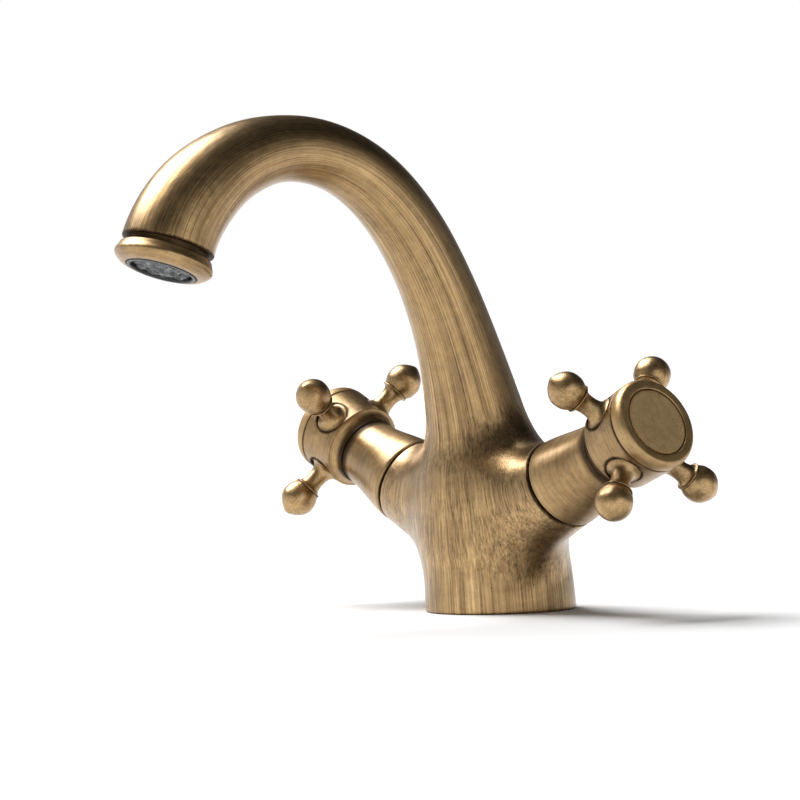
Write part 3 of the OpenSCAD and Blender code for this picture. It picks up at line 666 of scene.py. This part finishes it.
def make_hub(side):
    """The turned hub with a seat and a peg hole cut for each arm."""
    place = on_handle(side)
    ob = lathe(f"{side}_hub_look", hub_outline(), place, closed=True)
    hole, pocket, outside = 2.55, ARM_POCKET_D / 2, 20
    tool = [(0, 7), (hole, 7), (hole, ARM_SEAT), (pocket, ARM_SEAT), (pocket, outside), (0, outside)]
    cut(ob, [cutter("tool_arm", tool, on_arm(side, k), 64) for k in ARMS])
    local = moved(place.inverted(), read_points(ob))
    # Painted shade in the hub's creases and around each arm's seat.
    hollow = crease_shade(local, HUB_CREASES)
    for k in ARMS:
        turn = math.radians(ARM_TURN + 90 * k)
        way = np.array([math.cos(turn), math.sin(turn), 0])
        off = local - [0, 0, ARM_ALONG]
        far = np.linalg.norm(np.cross(off, way), axis=1)
        seam = np.exp(-((far - pocket) / 0.5) ** 2)
        hollow = np.maximum(hollow, np.where(off @ way > 5, seam, 0))
    write_attribute(ob, "local", local)
    write_attribute(ob, "hollow", hollow)
    return smooth(ob, 30)


for side in SIDES:
    handle = f"{side}_handle"
    place = on_handle(side)
    bonnet = lathe(f"{side}_bonnet_look", bonnet_outline(), place, closed=True, creases=BONNET_CREASES)
    keep(smooth(bonnet), "faucet_body", "bonnet_brass", f"{side}_bonnet")
    keep(make_hub(side), handle, "handle_brass", f"{side}_hub")
    for k in ARMS:
        arm = lathe(f"{side}_arm_{k + 1}_look", arm_outline(), on_arm(side, k), 64, longest=0.8,
                    creases=ARM_CREASES)
        keep(smooth(arm), handle, "handle_brass", f"{side}_arm_{k + 1}")
    cap = lathe(f"{side}_cap_look", cap_outline(), place, creases=CAP_CREASES)
    keep(smooth(cap), handle, "handle_brass", f"{side}_cap")
    button = lathe(f"{side}_button_look", button_outline(), place, creases=BUTTON_CREASES)
    keep(smooth(button), handle, "button_brass", f"{side}_button")

ring = lathe("aerator_ring_look", aerator_outline(), on_outlet(), closed=True, creases=RING_CREASES)
keep(smooth(ring), "faucet_body", "aerator_brass", "aerator_ring")

# The wire screen is within this radius, and the dark rim starts outside it.
SCREEN_R = 8.4


def make_screen():
    """Crumpled wire screen in the aerator's mouth, in one shell with the dark rim around it."""
    rng = np.random.default_rng(7)
    waves = [(rng.uniform(0.5, 1.5), rng.uniform(0, 2 * math.pi), rng.uniform(0, 2 * math.pi),
              rng.uniform(0.05, 0.13)) for _ in range(14)]
    rings, sides = 60, 160
    rim = [(8.5, 0.5), (8.6, 0.15), (8.75, 0.02), (9.35, 0.02), (9.52, 0.17), (9.52, 0.85),
           (8.44, 0.88), (8.44, 2.2)]

    def height(r, a):
        """A shallow dome with ripples around it and crumples across it, always inside the rim."""
        x, y = r * math.cos(a), r * math.sin(a)
        z = 1.0 - 0.35 * math.cos(r / SCREEN_R * math.pi / 2)
        z += 0.2 * math.sin(2.35 * r + 0.5 * math.sin(2 * a)) * min(1, r / 2)
        for pitch, turn, phase, size in waves:
            z += size * math.sin(pitch * (x * math.cos(turn) + y * math.sin(turn)) + phase)
        return max(z, 0.15)

    angles = np.linspace(0, 2 * math.pi, sides, endpoint=False)
    local = [(0, 0, 0.9)]
    for r in np.linspace(0, SCREEN_R, rings + 1)[1:]:
        local += [(r * math.cos(a), r * math.sin(a), height(r, a)) for a in angles]
    for r, z in rim:
        local += [(r * math.cos(a), r * math.sin(a), z) for a in angles]
    faces = [(0, 1 + (k + 1) % sides, 1 + k) for k in range(sides)]
    for i in range(rings + len(rim) - 1):
        a, b = 1 + i * sides, 1 + (i + 1) * sides
        faces += [(a + k, a + (k + 1) % sides, b + (k + 1) % sides, b + k) for k in range(sides)]
    faces.append(tuple(range(len(local) - sides, len(local))))
    local = np.array(local)
    return new_object("aerator_screen_look", moved(on_outlet(), local), faces, local=local)


keep(smooth(make_screen(), 50), "faucet_body", "screen_steel", "aerator_screen")


# ---------------------------------------------------------------- materials
class Nodes:
    """A node tree under construction: nodes are added and wired by name."""

    def __init__(self, tree):
        self.tree = tree
        tree.nodes.clear()

    def set(self, node, key, value):
        """Sets an input, or links it when the value is another node's output."""
        socket = node.inputs[key]
        if isinstance(value, bpy.types.NodeSocket):
            self.tree.links.new(value, socket)
        else:
            socket.default_value = value

    def add(self, kind, inputs, **settings):
        node = self.tree.nodes.new(kind)
        for key, value in settings.items():
            setattr(node, key, value)
        for key, value in inputs.items():
            self.set(node, key, value)
        return node

    def parts(self, vector):
        return self.add("ShaderNodeSeparateXYZ", {0: vector}).outputs

    def spread(self, value, low, high, to_low=0.0, to_high=1.0):
        """Eases from to_low to to_high while the value goes from low to high."""
        inputs = {"Value": value, "From Min": low, "From Max": high, "To Min": to_low, "To Max": to_high}
        return self.add("ShaderNodeMapRange", inputs, interpolation_type="SMOOTHSTEP").outputs[0]

    def ramp(self, value, stops):
        """Colour at a value between stops (position, colour)."""
        node = self.add("ShaderNodeValToRGB", {0: value})
        points = node.color_ramp.elements
        while len(points) < len(stops):
            points.new(0.5)
        for point, (position, colour) in zip(points, stops):
            point.position, point.color = position, (*colour, 1)
        return node.outputs[0]


class Shader(Nodes):
    """A material with one Principled surface, called skin."""

    def __init__(self, name):
        self.material = bpy.data.materials.new(name)
        self.material.use_nodes = True
        super().__init__(self.material.node_tree)
        out = self.tree.nodes.new("ShaderNodeOutputMaterial")
        self.skin = self.tree.nodes.new("ShaderNodeBsdfPrincipled")
        self.tree.links.new(self.skin.outputs[0], out.inputs[0])

    def finish(self, **inputs):
        """Sets the surface's inputs, with _ for each space in a name."""
        for key, value in inputs.items():
            self.set(self.skin, key.replace("_", " "), value)
        return self.material

    def math(self, operation, *values, clamp=False):
        inputs = dict(enumerate(values))
        return self.add("ShaderNodeMath", inputs, operation=operation, use_clamp=clamp).outputs[0]

    def vary(self, pattern, amount, base, clamp=False):
        """base, moved up and down by amount as the pattern moves about its middle of one half."""
        return self.math("MULTIPLY_ADD", self.math("SUBTRACT", pattern, 0.5), amount, base, clamp=clamp)

    def attribute(self, name, output="Vector"):
        return self.add("ShaderNodeAttribute", {}, attribute_name=name).outputs[output]

    def object_mm(self):
        """The place on the object, in millimetres."""
        return self.scaled(self.add("ShaderNodeTexCoord", {}).outputs["Object"], (1000.0, 1000.0, 1000.0))

    def scaled(self, vector, factors):
        return self.add("ShaderNodeVectorMath", {0: vector, 1: factors}, operation="MULTIPLY").outputs[0]

    def away(self, parts):
        """Distance from the piece's own axis."""
        squares = [self.math("MULTIPLY", parts[i], parts[i]) for i in (0, 1)]
        return self.math("SQRT", self.math("ADD", *squares))

    def noise(self, vector, scale, detail, rough, w=None):
        inputs = {"Vector": vector, "Scale": scale, "Detail": detail, "Roughness": rough}
        if w is not None:
            inputs["W"] = w
        return self.add("ShaderNodeTexNoise", inputs, noise_dimensions="3D" if w is None else "4D").outputs[0]

    def mix(self, factor, a, b):
        return self.add("ShaderNodeMix", {"Factor": factor, 6: a, 7: b}, data_type="RGBA").outputs[2]

    def bump(self, height, distance, strength, after=None):
        """Bumps, distance metres deep, over the ones that came before."""
        inputs = {"Height": height, "Distance": distance, "Strength": strength}
        if after is not None:
            inputs["Normal"] = after
        return self.add("ShaderNodeBump", inputs).outputs[0]


# Linear colours of the aged finish, from the darkest patina to the brightest worn metal.
PATINA = (0.040, 0.021, 0.008)
UMBER = (0.135, 0.078, 0.030)
BRONZE = (0.325, 0.203, 0.083)
TAN = (0.530, 0.350, 0.156)
WORN = (0.760, 0.545, 0.275)
AGED = [(0.0, PATINA), (0.24, UMBER), (0.48, BRONZE), (0.74, TAN), (1.0, WORN)]


def grain_noises(sh, place, grain):
    """Fine and broad brushing: swept along the neck, turned about an axis, or rubbed with no direction."""
    if grain == "swept":
        return (sh.noise(sh.scaled(place, (2.4, 2.4, 0.022)), 1.0, 4.0, 0.70),
                sh.noise(sh.scaled(place, (0.5, 0.5, 0.012)), 1.0, 3.0, 0.6))
    if grain == "turned":
        away = sh.away(sh.parts(place))
        return (sh.noise(sh.scaled(place, (0.12, 0.12, 3.6)), 1.0, 4.0, 0.62, sh.math("MULTIPLY", away, 3.6)),
                sh.noise(sh.scaled(place, (0.10, 0.10, 0.9)), 1.0, 3.0, 0.6, sh.math("MULTIPLY", away, 0.9)))
    return (sh.noise(sh.scaled(place, (2.6, 2.6, 1.4)), 1.0, 4.0, 0.65),
            sh.noise(sh.scaled(place, (0.55, 0.55, 0.35)), 1.0, 3.0, 0.6))


def aged_brass(name, grain, streak=1.0, blotch=1.0, tone=0.0, rough=0.34, pits=0.5):
    """Brushed antique brass with painted shade in its creases: streak and blotch set how strong its brushing
    and its patches are.
    """
    sh = Shader(name)
    place = sh.attribute("flow" if grain == "swept" else "local")
    hollow = sh.attribute("hollow", "Fac")
    fine, broad = grain_noises(sh, place, grain)
    cloud = sh.noise(place, 0.085, 3.0, 0.55)
    mottle = sh.noise(place, 0.42, 4.0, 0.6)
    speck = sh.noise(place, 5.5, 2.0, 0.5)

    shade = sh.vary(fine, 1.35 * streak, 0.50 + tone)
    shade = sh.vary(broad, 0.6 * streak, shade)
    shade = sh.vary(cloud, 0.5 * blotch, shade)
    shade = sh.vary(mottle, 0.45 * blotch, shade)
    shade = sh.vary(speck, 0.15, shade)
    # Painted shade: where creases and seams are marked, the finish is darker, less metallic, rougher and less
    # coated, varied by the mottle.
    painted_shade_weight = sh.math("MULTIPLY", sh.spread(hollow, 0.12, 0.95), sh.spread(mottle, 0.25, 0.75, 0.72, 1.0))
    shade = sh.math("MULTIPLY_ADD", painted_shade_weight, -0.55, shade, clamp=True)
    pit = sh.math("MULTIPLY", sh.spread(sh.noise(place, 1.3, 2.0, 0.5), 0.70, 0.75), pits)
    gloss = sh.vary(shade, -0.16, rough)
    gloss = sh.vary(mottle, 0.14, gloss)
    normal = sh.bump(fine, 0.00010, 0.55 * streak)
    normal = sh.bump(mottle, 0.00035, 0.28, normal)
    normal = sh.bump(sh.math("SUBTRACT", 1.0, pit), 0.00012, 0.8, normal)
    return sh.finish(Base_Color=sh.mix(pit, sh.ramp(shade, AGED), (*PATINA, 1)),
                     Metallic=sh.math("MULTIPLY_ADD", painted_shade_weight, -0.15, 1.0),
                     Roughness=sh.math("MULTIPLY_ADD", painted_shade_weight, 0.22, gloss),
                     Normal=normal,
                     Coat_Weight=sh.math("MULTIPLY_ADD", painted_shade_weight, -0.6, 0.6),
                     Coat_Roughness=0.30)


def new_brass(name):
    """Machined yellow brass of the valve's inner pieces."""
    sh = Shader(name)
    place = sh.object_mm()
    fine = sh.noise(sh.scaled(place, (0.8, 0.8, 2.6)), 1.0, 4.0, 0.6)
    shade = sh.vary(fine, 0.7, sh.noise(place, 0.25, 3.0, 0.6), clamp=True)
    tones = [(0.1, (0.33, 0.20, 0.06)), (0.5, (0.66, 0.47, 0.17)), (0.95, (0.85, 0.66, 0.32))]
    return sh.finish(Base_Color=sh.ramp(shade, tones), Metallic=1.0,
                     Roughness=sh.spread(fine, 0.2, 0.8, 0.2, 0.36), Normal=sh.bump(fine, 0.00005, 0.5))


def stainless(name):
    sh = Shader(name)
    place = sh.object_mm()
    fine = sh.noise(sh.scaled(place, (2.5, 2.5, 2.5)), 1.0, 4.0, 0.6)
    shade = sh.vary(fine, 0.5, sh.noise(place, 0.55, 3.0, 0.6), clamp=True)
    tones = [(0.15, (0.10, 0.095, 0.085)), (0.5, (0.36, 0.36, 0.35)), (0.9, (0.68, 0.68, 0.67))]
    return sh.finish(Base_Color=sh.ramp(shade, tones), Metallic=1.0,
                     Roughness=sh.spread(fine, 0.2, 0.8, 0.22, 0.42), Normal=sh.bump(fine, 0.00006, 0.6))


def moulded(name, light, deep, rough, grain_size, bump_mm, coat=0.0):
    """Rubber, plastic and ceramic: a moulded grain with a slow change of tone."""
    sh = Shader(name)
    place = sh.object_mm()
    grain = sh.noise(place, grain_size, 3.0, 0.6)
    shade = sh.vary(grain, 0.5, sh.noise(place, 0.3, 3.0, 0.6), clamp=True)
    return sh.finish(Base_Color=sh.ramp(shade, [(0.2, deep), (0.8, light)]),
                     Roughness=sh.spread(grain, 0.2, 0.8, rough - 0.07, rough + 0.08),
                     Coat_Weight=coat, Normal=sh.bump(grain, bump_mm / 1000, 0.5))


def screen(name):
    """Steel wire, with a black plastic rim outside the mesh."""
    sh = Shader(name)
    place = sh.attribute("local")
    parts = sh.parts(place)
    rim = sh.spread(sh.away(parts), SCREEN_R + 0.02, SCREEN_R + 0.1)
    weave = sh.math("MULTIPLY", *(sh.math("SINE", sh.math("MULTIPLY", parts[i], 15.0)) for i in (0, 1)))
    cloud = sh.noise(place, 0.7, 3.0, 0.6)
    shade = sh.math("MULTIPLY_ADD", weave, 0.10, sh.math("SUBTRACT", cloud, 0.12), clamp=True)
    tones = [(0.2, (0.012, 0.012, 0.013)), (0.45, (0.085, 0.088, 0.092)), (0.75, (0.50, 0.51, 0.52))]
    return sh.finish(Base_Color=sh.mix(rim, sh.ramp(shade, tones), (0.018, 0.018, 0.018, 1)),
                     Metallic=sh.math("SUBTRACT", 1.0, rim),
                     Roughness=sh.spread(cloud, 0.3, 0.7, 0.16, 0.34), Normal=sh.bump(weave, 0.00005, 0.6))


def paint(materials):
    """Each mesh takes the first material that has one of its keys in the mesh's name."""
    for ob in bpy.data.objects:
        if ob.type != "MESH":
            continue
        material = next(m for keys, m in materials if any(key in ob.name for key in keys))
        ob.data.materials.clear()
        ob.data.materials.append(material)


paint([
    (("screen_look",), screen("screen_steel")),
    (("mixer_body",), aged_brass("brass_swept", "swept", streak=1.0, blotch=0.65, pits=0.6)),
    (("button_look",), aged_brass("brass_button", "rubbed", streak=0.5, blotch=0.7, tone=0.42, rough=0.62)),
    (("_cap_look",), aged_brass("brass_cap", "turned", streak=0.35, blotch=0.9, tone=0.12, rough=0.5)),
    (("_arm_",), aged_brass("brass_rubbed", "rubbed", streak=0.6, tone=0.05, rough=0.38)),
    (("_look",), aged_brass("brass_turned", "turned", streak=0.4, blotch=0.9, rough=0.41)),
    (("gasket", "seal"),
     moulded("black_rubber", (0.040, 0.040, 0.042), (0.014, 0.014, 0.015), 0.6, 2.2, 0.05)),
    (("disc",), moulded("white_ceramic", (0.84, 0.83, 0.80), (0.70, 0.69, 0.66), 0.22, 3.0, 0.01, 0.4)),
    (("insert",), moulded("black_plastic", (0.050, 0.050, 0.052), (0.022, 0.022, 0.023), 0.4, 3.5, 0.03)),
    (("filter", "clip", "screw", "screen"), stainless("stainless_steel")),
    (("",), new_brass("valve_brass")),
])


# ---------------------------------------------------------------- floor, lights, camera
def floor():
    bm = bmesh.new()
    bmesh.ops.create_grid(bm, x_segments=8, y_segments=8, size=30)
    ob = object_from_bmesh("floor", bm)
    material = bpy.data.materials.new("floor_paper")
    material.use_nodes = True
    paper = material.node_tree.nodes["Principled BSDF"]
    paper.inputs["Base Color"].default_value = (0.88, 0.88, 0.88, 1)
    paper.inputs["Roughness"].default_value = 0.9
    ob.data.materials.append(material)


floor()


def direction(azimuth, elevation):
    """Unit vector towards an azimuth and elevation; azimuth 0 is in front of the spout."""
    a, e = math.radians(azimuth), math.radians(elevation)
    return Vector((math.sin(a) * math.cos(e), -math.cos(a) * math.cos(e), math.sin(e)))


def sun(name, azimuth, elevation, strength, angle):
    data = bpy.data.lights.new(name, "SUN")
    data.energy, data.angle = strength, math.radians(angle)
    ob = add_object(name, data)
    ob.rotation_mode = "QUATERNION"
    ob.rotation_quaternion = (-direction(azimuth, elevation)).to_track_quat("-Z", "Y")


def world():
    """White to the camera, and to all else a dim room with a pale band low down, but not behind."""
    studio = bpy.data.worlds.new("studio")
    bpy.context.scene.world = studio
    studio.use_nodes = True
    sky = Nodes(studio.node_tree)
    way = sky.add("ShaderNodeTexCoord", {}).outputs["Generated"]
    band = sky.ramp(sky.parts(way)[2], [(0.12, (0.90, 0.90, 0.90)), (0.44, (0.07, 0.07, 0.07))])
    ahead = sky.add("ShaderNodeVectorMath", {0: way, 1: direction(10, 0)}, operation="DOT_PRODUCT")
    strength = sky.spread(ahead.outputs["Value"], -0.6, -0.15, 0.3, 1.0)
    light = sky.add("ShaderNodeBackground", {"Color": band, "Strength": strength})
    seen = sky.add("ShaderNodeBackground", {"Color": (1, 1, 1, 1)})
    path = sky.add("ShaderNodeLightPath", {})
    seen_or_light = {0: path.outputs["Is Camera Ray"], 1: light.outputs[0], 2: seen.outputs[0]}
    sky.add("ShaderNodeOutputWorld", {0: sky.add("ShaderNodeMixShader", seen_or_light).outputs[0]})


world()
sun("key", -75, 54, 4.9, 45)
sun("fill", 85, 8, 0.4, 50)

# The camera stands this far from the object's middle, in metres, and is turned a little off it.
CAMERA_AZIMUTH, CAMERA_DISTANCE, CAMERA_HEIGHT = 49.544, 1.0, 0.067025
CAMERA_YAW, CAMERA_PITCH, CAMERA_ROLL = -1.5625, 0.3489, 1.63
FRAME_PX, FOCAL_PX, SENSOR = 800, 3487.05, 36


def camera():
    az = math.radians(CAMERA_AZIMUTH)
    right = np.array([math.cos(az), math.sin(az), 0])
    back = np.array([math.sin(az), -math.cos(az), 0])
    level = np.stack([right, [0, 0, 1], back])
    yaw, pitch, roll = (np.array(Matrix.Rotation(math.radians(turn), 3, axis)) for turn, axis in
                        ((CAMERA_YAW, "Y"), (CAMERA_PITCH, "X"), (CAMERA_ROLL, "Z")))
    data = bpy.data.cameras.new("camera")
    data.sensor_width, data.lens = SENSOR, FOCAL_PX * SENSOR / FRAME_PX
    data.clip_start, data.clip_end = 0.05, 100
    ob = add_object("camera", data)
    place = Matrix((roll @ pitch @ yaw @ level).T.tolist()).to_4x4()
    place.translation = Vector((*(CAMERA_DISTANCE * back[:2]), CAMERA_HEIGHT))
    ob.matrix_world = place
    bpy.context.scene.camera = ob


camera()
bpy.context.scene.view_settings.view_transform = "Standard"
